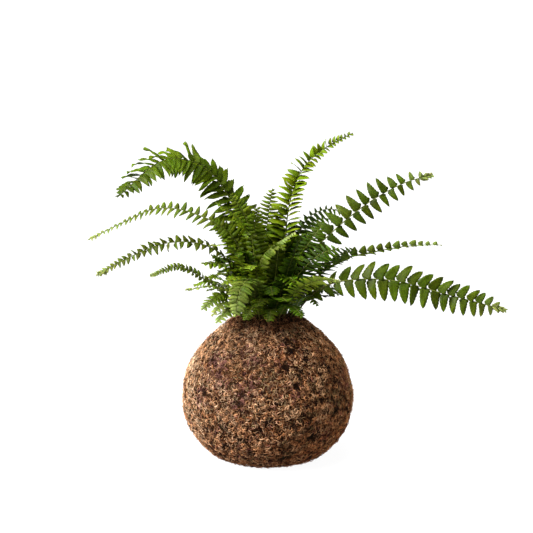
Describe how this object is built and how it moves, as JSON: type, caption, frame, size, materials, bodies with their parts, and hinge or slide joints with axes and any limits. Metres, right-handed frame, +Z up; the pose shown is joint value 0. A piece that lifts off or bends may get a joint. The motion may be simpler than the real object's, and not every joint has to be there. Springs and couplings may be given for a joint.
{
  "type": "kokedama moss ball plant",
  "caption": "Fern with arching fronds growing out of a round ball of soil wrapped in brown moss fibre, resting on a small flat spot.",
  "frame": {"origin": "centre of the flat spot that the ball rests on", "axes": "+Z up through the ball and the plant; +X to the viewer's right and +Y away from the viewer when the plant is seen from its front"},
  "size_m": [0.3483, 0.2031, 0.2715],
  "materials": {
    "moss": "matte",
    "soil": "matte",
    "crown": "matte",
    "leaf": "satin"
  },
  "bodies": {
    "root": {"moss_wrap": "moss", "soil_ball": "soil", "crown": "crown", "frond_back_arch": "leaf", "frond_back_left": "leaf", "frond_back_long": "leaf", "frond_back_low": "leaf", "frond_back_low_left": "leaf", "frond_back_low_right": "leaf", "frond_back_right": "leaf", "frond_back_side": "leaf", "frond_back_upright": "leaf", "frond_centre_fold": "leaf", "frond_centre_tall": "leaf", "frond_core_front": "leaf", "frond_core_left": "leaf", "frond_core_right": "leaf", "frond_far_left": "leaf", "frond_front_left": "leaf", "frond_front_mid": "leaf", "frond_front_right": "leaf", "frond_front_small": "leaf", "frond_left_arch": "leaf", "frond_left_core": "leaf", "frond_left_curl": "leaf", "frond_left_inner": "leaf", "frond_left_low": "leaf", "frond_left_mid": "leaf", "frond_left_small": "leaf", "frond_left_tiny": "leaf", "frond_low_front_left": "leaf", "frond_low_front_right": "leaf", "frond_low_left": "leaf", "frond_low_right": "leaf", "frond_mid_front": "leaf", "frond_mid_left": "leaf", "frond_right_big": "leaf", "frond_right_core": "leaf", "frond_right_fan": "leaf", "frond_right_inner": "leaf", "frond_right_low": "leaf", "frond_right_thin": "leaf", "frond_right_up": "leaf", "frond_skirt_front": "leaf", "frond_skirt_left": "leaf", "frond_skirt_right": "leaf"}
  },
  "joints": []
}
